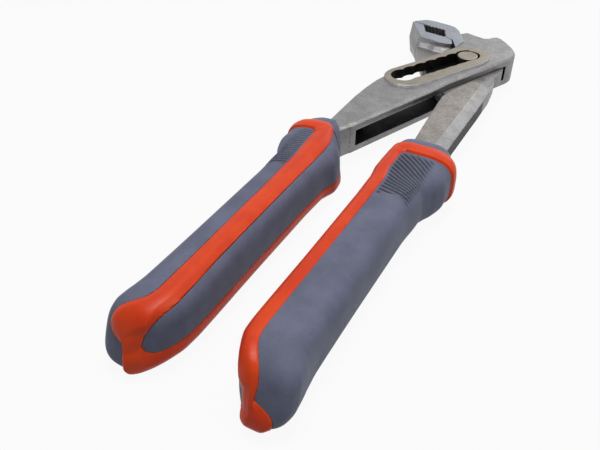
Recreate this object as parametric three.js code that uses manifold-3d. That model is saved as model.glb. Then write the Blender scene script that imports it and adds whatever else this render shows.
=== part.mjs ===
// Water pump pliers, about 250 mm long, with a box joint and seven jaw settings.
// The outer lever is a box: two plates joined by a web, with a scalloped slot through both.
// The inner lever's blade runs between the plates, and a rivet in the slot is its pivot.
// Units are millimetres. The rivet's axis is Z, its top face is at the origin, and the jaws point to +Y.
import * as THREE from "three";
import { mergeVertices } from "three/addons/utils/BufferGeometryUtils.js";
import Module from "manifold-3d";

const wasm = await Module();
wasm.setup();

// Clearances
const runClearance = 0.2; // beside a sliding or turning face
const seatClearance = 0.3; // between moulded layers, and round each tang
const seatSlackAlong = 2; // how many clearances a cover's seat is longer at each end
const seatSlackRound = 1.5; // and wider at each edge
const cutOverrun = 2; // how far a cut reaches past the face it opens

// Rivet and slot
const rivetRadius = 4.7;
const rivetChamfer = 0.3;
const settings = 7;
const settingPitch = 6.45;
const slotAngle = 241.5; // degrees, the way the rivet slides
const recessRadius = 5.45;
const recessOffset = 0.3; // the scallops are deeper on the side of the jaws
const slotEndRoom = 0.5;
const slotTravel = (settings - 1) * settingPitch;

// Thicknesses, each measured from the middle plane
const bossHalf = 7.8;
const plateHalf = 6.9;
const gapHalf = 3.5;
const bladeClearance = 0.25; // between the blade and each plate
const bladeHalf = gapHalf - bladeClearance;
const shaftHalf = 5;

// Outer lever
const bossRadius = 10.2;
const bossEndRadius = 9.6;
const bossEndOffset = 1.2;
const bossWaistShares = [0.45, -0.89]; // of the travel and of the end radius
const bossChamfer = 0.4;
const plateChamfer = 1;
const headWidth = 19.7;
const headHeight = 31;
const neckLength = 87;
const neckReach = 30.5;
const webRadius = 18.2;
const webWall = 4.6;
const pocketEndShare = 0.945; // of the neck's length
const armSwingRadius = 24.7;

// Jaws: shares of the jaw length along the bite line and square to it
const throatReach = 22.64;
const throatAngle = 133.6;
const jawAngle = 150.5;
const jawLength = 25.1;
const biteGap = 0.3;
const crackWidth = 0.8;
const jawDraft = 1.6; // how far the sides lean in from the middle plane to a face
const jawSkirt = 1.8; // the fillet at the foot of the inner jaw
const jawSkirtHeight = 2.1;
const toothPitch = 1.9;
const toothDepth = 0.7;

// Inner lever
const eyeRadius = 17;
const eyeCheekAngle = -24;
const shaftWidth = 17.6;
const bladeChamfer = 0.4;

// Grips: two of the same moulding, the inner one turned half round its own length. The outer
// one's front gives way to the neck, and both back ends slope the same way.
const gripLength = 127;
const gripHalfWidth = 10.4;
const gripHalfDepth = 10;
const guardBulge = 5; // beyond the grip's side away from the other handle
const nubBulge = 3; // beyond its other side, on one face only
const frontTuck = 5.2; // how far the outer grip gives way to the neck at the front
const frontLag = 5.5; // how far its front falls back there
const endSlant = 4.5; // how far the lower face runs past the middle plane at the back end
const endDrift = 1.8; // how far the tip of the back end lies from the grip's middle
const coverDepth = 1.8;
const collarShare = 0.035; // of the grip's length
const outerGripInset = 3.9; // from the neck's outer edge to the grip's middle
const outerGripLap = 1.5; // how far this grip reaches up over the steel
const innerGripLap = 3; // the same of the other grip
const innerGripCentreShare = 0.61; // of the shaft's width
const sectionSteps = 40;
const sectionPower = 3.2; // 2 is an ellipse, and a higher power is squarer

// Tangs, inside the grips
const tangWidth = 8.4;
const tangHalf = 3.4;
const tangChamfer = 1.1;
const tangShoulder = 20;
const tangShare = 0.86; // of the grip's length

// Facets in a full turn, and how near two corners are the same one
const smallRound = 36;
const middleRound = 48;
const largeRound = 72;
const sameCorner = 1e-4;

const steel = new THREE.MeshStandardMaterial({ color: 0x8f8d8c, roughness: 0.42, metalness: 0.9 });
const rivetSteel = new THREE.MeshStandardMaterial({ color: 0xa89f8e, roughness: 0.35, metalness: 0.9 });
const orange = new THREE.MeshStandardMaterial({ color: 0xd8451c, roughness: 0.5, metalness: 0 });
const grey = new THREE.MeshStandardMaterial({ color: 0x5c5f6b, roughness: 0.75, metalness: 0 });

// Plane geometry
const radians = (degrees) => (degrees * Math.PI) / 180;
const polar = (radius, degrees) => [
  radius * Math.cos(radians(degrees)),
  radius * Math.sin(radians(degrees)),
];
const plus = ([ax, ay], [bx, by]) => [ax + bx, ay + by];
const scaled = (shares, width, height) => shares.map(([x, y]) => [x * width, y * height]);

function arc(centre, radius, from, to, steps) {
  const points = [];
  for (let i = 0; i <= steps; i += 1) {
    points.push(plus(centre, polar(radius, from + ((to - from) * i) / steps)));
  }
  return points;
}

// A point at a distance down the slot from the first setting, and across it to the right.
function inSlot(down, across) {
  return plus(polar(down, slotAngle), polar(across, slotAngle + 90));
}

const bossWaist = inSlot(bossWaistShares[0] * slotTravel, bossWaistShares[1] * bossEndRadius);

// A point in the jaws' frame: along the bite line to the tips, and square to it to the outer jaw.
function inJaw(forward, rise) {
  const throat = polar(throatReach, throatAngle);
  return plus(throat, plus(polar(forward, jawAngle), polar(rise, jawAngle - 90)));
}
const jawPoint = (forwardShare, riseShare, rise = 0) =>
  inJaw(forwardShare * jawLength, riseShare * jawLength + rise);

// Saw teeth from one point to another, cut into the material on the left of that way.
function teeth(from, to) {
  const run = [to[0] - from[0], to[1] - from[1]];
  const length = Math.hypot(...run);
  const count = Math.max(1, Math.round(length / toothPitch));
  const inward = [(-run[1] * toothDepth) / length, (run[0] * toothDepth) / length];
  const points = [from];
  for (let i = 0; i < count; i += 1) {
    const root = (i + 0.5) / count;
    const crest = (i + 1) / count;
    points.push([from[0] + run[0] * root + inward[0], from[1] + run[1] * root + inward[1]]);
    points.push([from[0] + run[0] * crest, from[1] + run[1] * crest]);
  }
  return points;
}

// Solids
function solidOf(geometry) {
  geometry.deleteAttribute("normal");
  geometry.deleteAttribute("uv");
  const merged = mergeVertices(geometry, sameCorner);
  return new wasm.Manifold(
    new wasm.Mesh({
      numProp: 3,
      vertProperties: merged.attributes.position.array,
      triVerts: new Uint32Array(merged.index.array),
    }),
  );
}

// A plate of one outline, centred on the middle plane, with its edges chamfered.
function slab(outline, half, chamfer = 0) {
  const shape = new THREE.Shape(outline.map(([x, y]) => new THREE.Vector2(x, y)));
  const geometry = new THREE.ExtrudeGeometry(shape, {
    depth: 2 * (half - chamfer),
    bevelEnabled: chamfer > 0,
    bevelThickness: chamfer,
    bevelSize: chamfer,
    bevelOffset: -chamfer,
    bevelSegments: 1,
    curveSegments: 1,
  });
  return solidOf(geometry.translate(0, 0, chamfer - half));
}

// A skin over sections of equal point counts, closed at both ends. The sections follow each
// other along +Y, and each runs from +X round by +Z, its points in pairs across the ring.
function loft(sections) {
  const count = sections[0].length;
  const positions = sections.flat(2);
  const faces = [];
  for (let s = 0; s + 1 < sections.length; s += 1) {
    for (let i = 0; i < count; i += 1) {
      const a = s * count + i;
      const b = s * count + ((i + 1) % count);
      faces.push(a, b + count, b, a, a + count, b + count);
    }
  }
  const last = (sections.length - 1) * count;
  for (let a = 0; a + 1 < count / 2; a += 1) {
    const [b, c, d] = [a + 1, count - 2 - a, count - 1 - a];
    faces.push(a, b, c, a, c, d, last + a, last + c, last + b, last + a, last + d, last + c);
  }
  const geometry = new THREE.BufferGeometry();
  geometry.setAttribute("position", new THREE.Float32BufferAttribute(positions, 3));
  geometry.setIndex(faces);
  return solidOf(geometry);
}

// A block between two equal faces, its sides following the outlines given at each height.
function block(layers) {
  const count = layers[0].outline.length;
  const positions = layers.flatMap(({ outline, z }) => outline.flatMap(([x, y]) => [x, y, z]));
  const faces = [];
  for (let s = 0; s + 1 < layers.length; s += 1) {
    for (let i = 0; i < count; i += 1) {
      const a = s * count + i;
      const b = s * count + ((i + 1) % count);
      faces.push(a, b, b + count, a, b + count, a + count);
    }
  }
  const last = (layers.length - 1) * count;
  const flat = layers[0].outline.map(([x, y]) => new THREE.Vector2(x, y));
  for (const [a, b, c] of THREE.ShapeUtils.triangulateShape(flat, [])) {
    faces.push(a, c, b, last + a, last + b, last + c);
  }
  const geometry = new THREE.BufferGeometry();
  geometry.setAttribute("position", new THREE.Float32BufferAttribute(positions, 3));
  geometry.setIndex(faces);
  return solidOf(geometry);
}

function meshOf(name, solid, material) {
  const { vertProperties, triVerts } = solid.getMesh();
  const geometry = new THREE.BufferGeometry();
  geometry.setAttribute("position", new THREE.BufferAttribute(new Float32Array(vertProperties), 3));
  geometry.setIndex(new THREE.BufferAttribute(new Uint32Array(triVerts), 1));
  const flat = geometry.toNonIndexed();
  flat.computeVertexNormals();
  const mesh = new THREE.Mesh(flat, material);
  mesh.name = name;
  return mesh;
}

const disc = (centre, radius, half, steps) =>
  slab(arc(centre, radius, 0, 360, steps).slice(1), half);

// Both jaws share these lines, and each keeps half of the gap.
const biteShares = [
  [1, 0],
  [0.759, 0.056],
  [0.05, -0.012],
];
const crackShares = [
  [-0.147, -0.008],
  [-0.47, -0.219],
];
const outerNotchShare = [0.323, 0.211];
const innerNotchShare = [0.454, -0.161];
// The backs of the jaws: shares of the jaw length, then shares of the draft and of the skirt.
const outerBackShares = [
  [-0.383, -0.03, 0, 0],
  [-0.335, 0.153, 0.3, 0],
  [0.111, 0.44, 0.3, 0],
  [0.305, 0.514, 0.4, 0],
  [0.45, 0.5, 0.5, 0],
  [0.629, 0.438, 0.5, 0],
  [0.805, 0.381, 0.5, 0],
  [0.92, 0.31, 0.5, 0],
  [0.976, 0.243, 0.6, 0],
  [1.025, 0.09, 0.6, 0],
];
const innerBackShares = [
  [1.016, -0.088, 0.7, 0],
  [0.817, -0.215, 1.1, 0],
  [0.618, -0.341, 1.4, 0],
  [0.402, -0.47, 1.6, 0],
  [0.34, -0.49, 1.2, 0.4],
  [0.28, -0.44, 0.4, 1],
  [0.1, -0.36, 0.2, 1],
  [-0.03, -0.335, 0.2, 1],
  [-0.2, -0.235, 0.2, 1],
];
const innerCrackEndShare = [-0.283, -0.115];

// The bite line, the crack behind it and the toothed notch, seen from one jaw.
function biteLine(side, notchShare, crackEndShare) {
  const gap = (side * biteGap) / 2;
  const [tip, lip, heel] = biteShares.map(([a, b]) => jawPoint(a, b, gap));
  const notch = jawPoint(...notchShare);
  const wall = (side * crackWidth) / 2;
  const crack = [crackShares[0], crackEndShare].map(([a, b]) => jawPoint(a, b, wall));
  return { tip, lip, notch, heel, crack };
}

function outerBite() {
  const { tip, lip, notch, heel, crack } = biteLine(1, outerNotchShare, crackShares[1]);
  const bite = [...teeth(tip, lip), ...teeth(lip, notch).slice(1), ...teeth(notch, heel).slice(1)];
  return [...bite, ...crack];
}

function innerBite() {
  const { tip, lip, notch, heel, crack } = biteLine(-1, innerNotchShare, innerCrackEndShare);
  const bite = [...teeth(heel, notch), ...teeth(notch, lip).slice(1), ...teeth(lip, tip).slice(1)];
  return [...crack.reverse(), ...bite];
}

// Moves each point of an open line to the right of its run by its own distance.
function spread(points, distances) {
  return points.map((point, i) => {
    const before = points[Math.max(0, i - 1)];
    const after = points[Math.min(points.length - 1, i + 1)];
    const run = [after[0] - before[0], after[1] - before[1]];
    const length = Math.hypot(...run);
    return plus(point, [(run[1] * distances[i]) / length, (-run[0] * distances[i]) / length]);
  });
}

// A jaw: its bite is square to its faces, its back leans in to them and has a skirt at its foot.
function jaw(bite, backShares) {
  const back = backShares.map(([a, b]) => jawPoint(a, b));
  const outline = (lean, skirt) => [
    ...bite,
    ...spread(back, backShares.map(([, , draft, foot]) => foot * skirt - draft * lean)),
  ];
  const level = bladeHalf / bossHalf;
  const rise = (bladeHalf + jawSkirtHeight) / bossHalf;
  const upper = [
    { z: bladeHalf, outline: outline(level * jawDraft, jawSkirt) },
    { z: bladeHalf + jawSkirtHeight, outline: outline(rise * jawDraft, 0) },
    { z: bossHalf, outline: outline(jawDraft, 0) },
  ];
  const lower = upper.map(({ z, outline: layer }) => ({ z: -z, outline: layer })).reverse();
  return block([...lower, { z: 0, outline: outline(0, jawSkirt) }, ...upper]);
}

// The raised boss round the slot, round at both ends and waisted on the side of the jaws.
function bossOutline() {
  const end = inSlot(slotTravel, bossEndOffset);
  const endLeft = slotAngle - 90;
  return [
    ...arc([0, 0], bossRadius, endLeft - 180, endLeft, middleRound / 2),
    bossWaist,
    ...arc(end, bossEndRadius, endLeft, endLeft + 180, middleRound / 2),
  ];
}

// The scalloped slot: a straight run as wide as the rivet, and a recess at each setting.
function slotCut() {
  const half = bossHalf + cutOverrun;
  const wall = rivetRadius + runClearance;
  const run = [
    inSlot(0, -wall),
    inSlot(slotTravel, -wall),
    inSlot(slotTravel, wall),
    inSlot(0, wall),
  ];
  let cut = slab(run, half);
  for (let setting = 0; setting < settings; setting += 1) {
    cut = cut.add(disc(inSlot(setting * settingPitch, -recessOffset), recessRadius, half, smallRound));
  }
  cut = cut.add(disc(inSlot(-slotEndRoom, -recessOffset / 2), recessRadius, half, smallRound));
  return cut.add(disc(inSlot(slotTravel + slotEndRoom, -recessOffset / 2), recessRadius, half, smallRound));
}

const neckLeftShares = [
  [-0.892, -0.425],
  [-0.941, -0.489],
  [-0.977, -0.585],
  [-0.997, -0.689],
  [-1, -0.797],
  [-1, -0.975],
];
const neckRightShares = [
  [-0.68, -0.975],
  [-0.655, -0.96],
  [-0.108, -0.477],
  [0.036, -0.333],
];
const headShares = [
  [0.935, 0.3],
  [0.965, 0.39],
  [0.95, 0.49],
  [0.89, 0.6],
  [0.79, 0.71],
  [0.62, 0.84],
  [0.42, 0.97],
  [0.28, 1],
  [0.18, 0.96],
  [0.1, 0.88],
  [0.02, 0.855],
  [-0.2, 0.9],
  [-0.48, 0.96],
];

// Where the head's outline runs on inside the jaw: shares of the jaw length.
const headFootShares = [
  [0.1, 0.3],
  [-0.2, 0.1],
];

// The plates: the head, the side along the boss and the neck down to the grip.
function plateOutline() {
  const [neckLeft, neckRight] = [neckLeftShares, neckRightShares].map((shares) =>
    scaled(shares, neckReach, neckLength),
  );
  const jawSide = [...headFootShares, crackShares[1]].map(([a, b]) => jawPoint(a, b));
  return [
    ...neckRight,
    ...scaled(headShares, headWidth, headHeight),
    ...jawSide,
    inSlot(0, -bossRadius),
    bossWaist,
    inSlot(slotTravel, bossEndOffset - bossEndRadius),
    ...neckLeft,
  ];
}

// The box between the plates: room for the blade at every setting, and a pocket down the neck.
function boxCut() {
  const farSetting = inSlot(slotTravel, 0);
  const side = slotAngle + 90;
  const sweep = [
    ...arc([0, 0], webRadius, side, side + 180, largeRound / 2),
    ...arc(farSetting, webRadius, side + 180, side + 360, largeRound / 2),
  ];
  const pocketEnd = -pocketEndShare * neckLength;
  const pocket = [
    [webWall - neckReach, pocketEnd],
    [headWidth, pocketEnd],
    [headWidth, farSetting[1]],
    [webWall - neckReach, farSetting[1]],
  ];
  return slab(sweep, gapHalf)
    .add(disc(farSetting, armSwingRadius, gapHalf, middleRound))
    .add(slab(pocket, gapHalf));
}

// Sections with eight corners, square to the handles. A section's sizes are its place along Y,
// its left and right sides, the ridges where its top face ends, and its half thickness.
function bar(stations, grow = 0) {
  return loft(
    stations.map(({ y, left, right, ridgeLeft, ridgeRight, half, flank }) => {
      const top = half + grow;
      const side = flank + grow;
      return [
        [left - grow, y, -side],
        [ridgeLeft - grow, y, -top],
        [ridgeRight + grow, y, -top],
        [right + grow, y, -side],
        [right + grow, y, side],
        [ridgeRight + grow, y, top],
        [ridgeLeft - grow, y, top],
        [left - grow, y, side],
      ];
    }),
  );
}

// A tang's stations run from the steel it grows out of to its end inside the grip.
function tangStations(root, centre, front) {
  const end = front - tangShare * gripLength;
  const half = tangWidth / 2;
  const slim = {
    left: centre - half,
    right: centre + half,
    ridgeLeft: centre - half + tangChamfer,
    ridgeRight: centre + half - tangChamfer,
    half: tangHalf,
    flank: tangHalf - tangChamfer,
  };
  const shoulder = front - tangShoulder;
  return [{ ...slim, y: end }, { ...slim, y: shoulder }, ...root];
}

// The neck's foot inside the collar: shares of its length and of its reach, on the right.
const neckRootShares = [
  [1.05, -0.78],
  [1.03, -0.755],
  [0.95, -0.655],
];

function neckRoot() {
  return neckRootShares.map(([along, right]) => ({
    y: -along * neckLength,
    left: -neckReach,
    right: right * neckReach,
    ridgeLeft: plateChamfer - neckReach,
    ridgeRight: right * neckReach - plateChamfer,
    half: plateHalf,
    flank: plateHalf - plateChamfer,
  }));
}

// The shaft's own stations: place along the neck's length, then shares of the shaft's width.
const shaftShares = [
  { along: 1, left: 0.24, ridgeLeft: 0.28, ridgeRight: 0.72, right: 0.98 },
  { along: 0.8, left: 0.165, ridgeLeft: 0.205, ridgeRight: 0.725, right: 0.985 },
  { along: 0.56, left: 0.085, ridgeLeft: 0.125, ridgeRight: 0.735, right: 1 },
  { along: 0.46, left: 0.05, ridgeLeft: 0.1, ridgeRight: 0.74, right: 1.01 },
  { along: 0.37, left: 0.165, ridgeLeft: 0.2, ridgeRight: 0.75, right: 1.01 },
  { along: 0.265, left: 0.39, ridgeLeft: 0.41, ridgeRight: 0.755, right: 1.01 },
  { along: 0.235, left: 0.45, ridgeLeft: 0.47, ridgeRight: 0.74, right: 1 },
];

// Its last station, as thin as the blade it ends in.
const shaftNoseShares = { along: 0.13, left: 0.6, ridgeLeft: 0.62, ridgeRight: 0.78, right: 0.95 };

function shaftStation({ along, left, ridgeLeft, ridgeRight, right }, half) {
  const across = (share) => share * shaftWidth;
  return {
    y: -along * neckLength,
    left: across(left),
    right: across(right),
    ridgeLeft: across(ridgeLeft),
    ridgeRight: across(ridgeRight),
    half,
    flank: bladeHalf - bladeChamfer,
  };
}

function shaftStations() {
  const full = shaftShares.map((shares) => shaftStation(shares, shaftHalf));
  return [...full, shaftStation(shaftNoseShares, bladeHalf)];
}

// The blade's outline: its leg and its arm in shares of the shaft's width and of the neck's
// length, and its foot under the jaw in shares of the jaw length.
const bladeLegShares = [
  [0.08, -0.47],
  [0.9, -0.47],
  [0.93, -0.2],
  [0.95, -0.13],
];
const bladeFootShares = [
  [-0.3, -0.2],
  [0.3, -0.25],
  [0.5, -0.27],
  [0.6, -0.3],
  [0.4, -0.43],
  [0.235, -0.574],
  [-0.01, -0.721],
];
const bladeArmShares = [
  [-0.966, -0.143],
  [-0.455, -0.287],
  [0, -0.391],
];

// The blade between the plates: the eye round the rivet, the arm to the jaw, the leg to the shaft.
function bladeSolid() {
  const outline = [
    ...scaled(bladeLegShares, shaftWidth, neckLength),
    polar(eyeRadius, eyeCheekAngle),
    ...bladeFootShares.map(([forward, rise]) => jawPoint(forward, rise)),
    ...scaled(bladeArmShares, shaftWidth, neckLength),
  ];
  const eye = slab(arc([0, 0], eyeRadius, 0, 360, largeRound).slice(1), bladeHalf, bladeChamfer);
  return slab(outline, bladeHalf, bladeChamfer).add(eye);
}

// Where each grip lies: its middle, its front, and which way round it is moulded on.
const outerGrip = {
  turned: false,
  tucked: true,
  centre: outerGripInset - neckReach,
  front: outerGripLap - neckLength,
};
const innerGrip = {
  turned: true,
  tucked: false,
  centre: innerGripCentreShare * shaftWidth,
  front: innerGripLap - neckLength,
};

const outerTang = (grow) => bar(tangStations(neckRoot(), outerGrip.centre, outerGrip.front), grow);
const innerTang = (grow) => bar(tangStations(shaftStations(), innerGrip.centre, innerGrip.front), grow);

function outerLever() {
  const solid = slab(plateOutline(), plateHalf, plateChamfer)
    .add(slab(bossOutline(), bossHalf, bossChamfer))
    .add(jaw(outerBite(), outerBackShares))
    .add(outerTang(0))
    .subtract(boxCut())
    .subtract(slotCut());
  return meshOf("outer_lever", solid, steel);
}

function innerLever() {
  const solid = bladeSolid()
    .add(jaw(innerBite(), innerBackShares))
    .add(innerTang(0))
    .subtract(disc([0, 0], rivetRadius + runClearance, bladeHalf + cutOverrun, middleRound));
  return meshOf("inner_lever", solid, steel);
}

function pivotRivet() {
  const outline = arc([0, 0], rivetRadius, 0, 360, middleRound).slice(1);
  return meshOf("pivot_rivet", slab(outline, bossHalf, rivetChamfer), rivetSteel);
}

// Stations of the moulding, from its back end to its front: the share of its length from the
// front, then how much of each side, bulge and depth it has there, and how far its end leans.
const gripShares = [
  { along: 1, away: 0.36, near: 0.13, twist: 0.1, depth: 0.36, slant: 1 },
  { along: 0.995, away: 0.66, near: 0.28, twist: 0.17, depth: 0.64, slant: 0.98 },
  { along: 0.983, away: 0.88, near: 0.46, twist: 0.18, depth: 0.83, slant: 0.94 },
  { along: 0.967, away: 1.0, near: 0.61, twist: 0.14, depth: 0.92, slant: 0.86 },
  { along: 0.945, away: 1.06, near: 0.76, twist: 0.08, depth: 0.97, slant: 0.7 },
  { along: 0.92, away: 1.05, near: 0.88, twist: 0.04, depth: 0.99, slant: 0.5 },
  { along: 0.89, away: 1.01, near: 0.97, twist: 0.01, depth: 1, slant: 0.25 },
  { along: 0.84, away: 0.96, near: 1, depth: 1 },
  { along: 0.6, away: 0.93, near: 0.98, depth: 1 },
  { along: 0.36, away: 0.93, near: 0.98, depth: 1 },
  { along: 0.25, away: 1, near: 1, guard: 0.05, nub: 0.1, depth: 1 },
  { along: 0.22, away: 1, near: 1, guard: 0.32, nub: 0.5, depth: 1.02 },
  { along: 0.19, away: 1, near: 1, guard: 0.72, nub: 1, depth: 1.04 },
  { along: 0.15, away: 1, near: 1, guard: 1, nub: 1, tuck: 0.1, depth: 1.05 },
  { along: 0.105, away: 1, near: 1, guard: 1, nub: 0.9, tuck: 0.4, depth: 1.05 },
  { along: 0.06, away: 1, near: 1, guard: 0.72, nub: 0.75, tuck: 0.8, depth: 1.02 },
  { along: collarShare, away: 1, near: 1, guard: 0.35, nub: 0.5, tuck: 0.95, depth: 0.97 },
  { along: 0.012, away: 1, near: 1, guard: 0.05, nub: 0.2, tuck: 1, depth: 0.88 },
  { along: 0, away: 0.93, near: 0.97, tuck: 1, depth: 0.8 },
];
const gripKeys = ["away", "near", "twist", "guard", "nub", "tuck", "depth", "slant"];

function stationAt(along) {
  const next = Math.max(1, gripShares.findIndex((station) => station.along <= along));
  const [before, after] = [gripShares[next - 1], gripShares[next]];
  const t = (before.along - along) / (before.along - after.along);
  const mix = (key) => THREE.MathUtils.lerp(before[key] ?? 0, after[key] ?? 0, t);
  return Object.fromEntries(gripKeys.map((key) => [key, mix(key)]));
}

// A point of the moulding's section: its angle runs from the side that faces the other handle.
// The moulding's lower face is the one that ends up below, whichever way round it is placed.
function gripPoint(along, angle, inset, { turned, tucked }) {
  const { away, near, twist, guard, nub, tuck, depth, slant } = stationAt(along);
  const [x, z] = polar(1, angle).map((part) => Math.sign(part) * Math.abs(part) ** (2 / sectionPower));
  const height = z * (depth * gripHalfDepth - inset);
  const down = ((turned ? 1 : -1) * height) / gripHalfDepth;
  const nubSide = (1 - Math.sin(radians(angle))) / 2;
  const farSide = away * gripHalfWidth + guard * guardBulge;
  const given = tucked ? tuck : 0;
  const nearSide = (near - twist * down) * gripHalfWidth + nub * nubSide * nubBulge - given * frontTuck;
  const lag = given * Math.max(0, x) * frontLag;
  const drift = (1 - near) * endDrift;
  const across = x * ((x > 0 ? nearSide : farSide) - inset) - drift;
  return [across, -along * gripLength - slant * endSlant * down - lag, height];
}

// The stations from one share of the length back to another, with a little more at both ends.
function alongGrip(from, to, more = 0) {
  const between = gripShares.map(({ along }) => along).filter((along) => along < to && along > from);
  const inner = [to, ...between, from];
  return more > 0 ? [to + more, ...inner, from - more] : inner;
}

function gripSkin(from, to, way) {
  const ring = Array.from({ length: sectionSteps }, (_, i) => ((i + 0.5) * 360) / sectionSteps);
  return loft(alongGrip(from, to).map((along) => ring.map((angle) => gripPoint(along, angle, 0, way))));
}

// A cover over part of the section, between two depths under the moulding's surface. Its edges
// draw in over the last stretch, so that its back end is round.
function gripCover(cover, way, inset, outset, grow = 0) {
  const { angles, drawnAngles, shares } = cover;
  const slack = (seatSlackRound * grow) / gripHalfWidth / radians(1);
  const steps = Math.ceil(((angles[1] - angles[0]) * sectionSteps) / 360);
  return loft(
    alongGrip(shares.front, shares.back, (seatSlackAlong * grow) / gripLength).map((along) => {
      const past = THREE.MathUtils.clamp((along - shares.round) / (shares.back - shares.round), 0, 1);
      const drawn = 1 - Math.sqrt(1 - past ** 2);
      const first = angles[0] + drawn * drawnAngles[0] - slack;
      const last = angles[1] + drawn * drawnAngles[1] + slack;
      const turn = Array.from({ length: steps + 1 }, (_, i) => first + ((last - first) * i) / steps);
      return [
        ...turn.map((angle) => gripPoint(along, angle, -outset, way)),
        ...turn.reverse().map((angle) => gripPoint(along, angle, inset, way)),
      ];
    }),
  );
}

// Each cover's edges, in degrees round the section and in shares of the grip's length, and how
// far each edge draws in between the start of its round end and the end itself.
const wrap = {
  angles: [96, 286],
  drawnAngles: [45, -20],
  shares: { front: 0.105, round: 0.9, back: 0.99 },
};
const pad = {
  angles: [-12, 42],
  drawnAngles: [18, -24],
  shares: { front: 0.045, round: 0.87, back: 0.99 },
};

// One grip: a core moulded over the tang, with a wrap, a pad and a collar set into it.
function grip(name, way, tang) {
  const { turned, centre, front } = way;
  const place = (solid) => solid.rotate([0, turned ? 180 : 0, 0]).translate([centre, front, 0]);
  const cut = (cover) => gripCover(cover, way, coverDepth + seatClearance, cutOverrun, seatClearance);
  const coreStart = collarShare + seatClearance / gripLength;
  const core = gripSkin(coreStart, 1, way).subtract(cut(wrap)).subtract(cut(pad));
  return [
    meshOf(`${name}_grip_core`, place(core).subtract(tang), orange),
    meshOf(`${name}_grip_wrap`, place(gripCover(wrap, way, coverDepth, 0)), grey),
    meshOf(`${name}_grip_pad`, place(gripCover(pad, way, coverDepth, 0)), grey),
    meshOf(`${name}_grip_collar`, place(gripSkin(0, collarShare, way)).subtract(tang), grey),
  ];
}

const pliers = new THREE.Group();
pliers.add(outerLever(), innerLever(), pivotRivet());
pliers.add(...grip("outer", outerGrip, outerTang(seatClearance)));
pliers.add(...grip("inner", innerGrip, innerTang(seatClearance)));
pliers.position.z = -bossHalf;

export default pliers;
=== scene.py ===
# %% [markdown]
# # Water pump pliers
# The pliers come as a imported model: two steel levers, a rivet and two moulded handle grips.
# This script dresses that model. It keeps the two forgings, which are true to shape, and
# gives them their steel. It remakes the rivet and the grips, whose soft forms need more faces.
# Everything is in metres, in the model's own frame: the rivet's top is the origin, and the
# jaws point to +Y. The pieces' named sizes are in millimetres, and MM turns them to metres.

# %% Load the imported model
import functools
import math

import bpy
from mathutils import Matrix, Vector


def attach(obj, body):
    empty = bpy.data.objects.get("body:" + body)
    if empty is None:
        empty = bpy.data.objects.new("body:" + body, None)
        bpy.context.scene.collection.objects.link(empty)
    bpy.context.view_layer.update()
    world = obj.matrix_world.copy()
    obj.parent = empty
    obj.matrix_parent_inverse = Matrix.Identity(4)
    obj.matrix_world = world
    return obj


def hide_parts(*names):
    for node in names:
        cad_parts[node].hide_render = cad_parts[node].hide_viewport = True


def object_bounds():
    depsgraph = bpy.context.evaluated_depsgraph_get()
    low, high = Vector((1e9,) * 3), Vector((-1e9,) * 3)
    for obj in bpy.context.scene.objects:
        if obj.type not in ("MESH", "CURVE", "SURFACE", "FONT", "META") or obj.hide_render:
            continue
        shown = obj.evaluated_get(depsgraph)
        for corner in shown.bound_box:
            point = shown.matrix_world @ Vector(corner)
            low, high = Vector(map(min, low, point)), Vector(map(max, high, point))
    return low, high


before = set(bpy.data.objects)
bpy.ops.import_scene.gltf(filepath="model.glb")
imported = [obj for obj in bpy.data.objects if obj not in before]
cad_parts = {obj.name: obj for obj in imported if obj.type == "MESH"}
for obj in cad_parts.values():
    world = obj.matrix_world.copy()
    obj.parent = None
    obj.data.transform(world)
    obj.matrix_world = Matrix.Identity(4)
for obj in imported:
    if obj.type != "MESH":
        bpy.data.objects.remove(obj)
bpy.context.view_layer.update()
bpy.ops.object.select_all(action="DESELECT")
MM = 0.001
print("nodes:", sorted(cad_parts))

# %% [markdown]
# ## Camera
# The photograph looks down on the pliers from the side of the handles. The camera's tilt comes
# from a fit to the rims of the boss and of the rivet, and its height follows from the size of
# the pliers. A camera looks along its own -Z, so its matrix is made from the directions of its
# right side, its top and its back.

# %% The camera
CAMERA_PLACE = Vector((71.8, -295.4, 128)) * MM
FORWARD = Vector((-0.3786, 0.6914, -0.6152)).normalized()
RIGHT = Vector((0.877, 0.480, 0)).normalized()
LENS_MM = 39.6

bpy.ops.object.camera_add()
camera = bpy.context.object
camera.name = "camera"
camera.data.lens = LENS_MM
camera.data.clip_start = 1 * MM
top = RIGHT.cross(FORWARD).normalized()
turn = Matrix((RIGHT, top, -FORWARD)).transposed()
camera.matrix_world = Matrix.Translation(CAMERA_PLACE) @ turn.to_4x4()
bpy.context.scene.camera = camera
print("camera distance to the rivet:", round(CAMERA_PLACE.length / MM), "mm")

# %% [markdown]
# ## A small workbench of helpers
# Colours are written as sRGB hex, the way a paint program shows them, and one function turns
# them to the linear values that shaders work in. One more function adds a shader node with
# its settings and links, and a third starts a material with its Principled shader.


# %% Colours and nodes
def linear(hex_colour):
    """The linear RGBA of a colour such as d8451c."""
    parts = [int(hex_colour[i : i + 2], 16) / 255 for i in (0, 2, 4)]
    return [p / 12.92 if p <= 0.04045 else ((p + 0.055) / 1.055) ** 2.4 for p in parts] + [1]


def add(tree, kind, inputs=None, **settings):
    """Adds a node, sets it up, and fills its inputs with values or with links."""
    node = tree.nodes.new(kind)
    for name, value in settings.items():
        setattr(node, name, value)
    for name, value in (inputs or {}).items():
        if isinstance(value, bpy.types.NodeSocket):
            tree.links.new(value, node.inputs[name])
        else:
            node.inputs[name].default_value = value
    return node


def start_material(name, **values):
    """A new material: its tree, its Principled shader and its Object coordinates."""
    material = bpy.data.materials.new(name)
    material.use_nodes = True
    tree = material.node_tree
    shader = tree.nodes["Principled BSDF"]
    for socket, value in values.items():
        shader.inputs[socket.replace("_", " ")].default_value = value
    place = add(tree, "ShaderNodeTexCoord").outputs["Object"]
    return material, tree, shader, place


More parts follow.
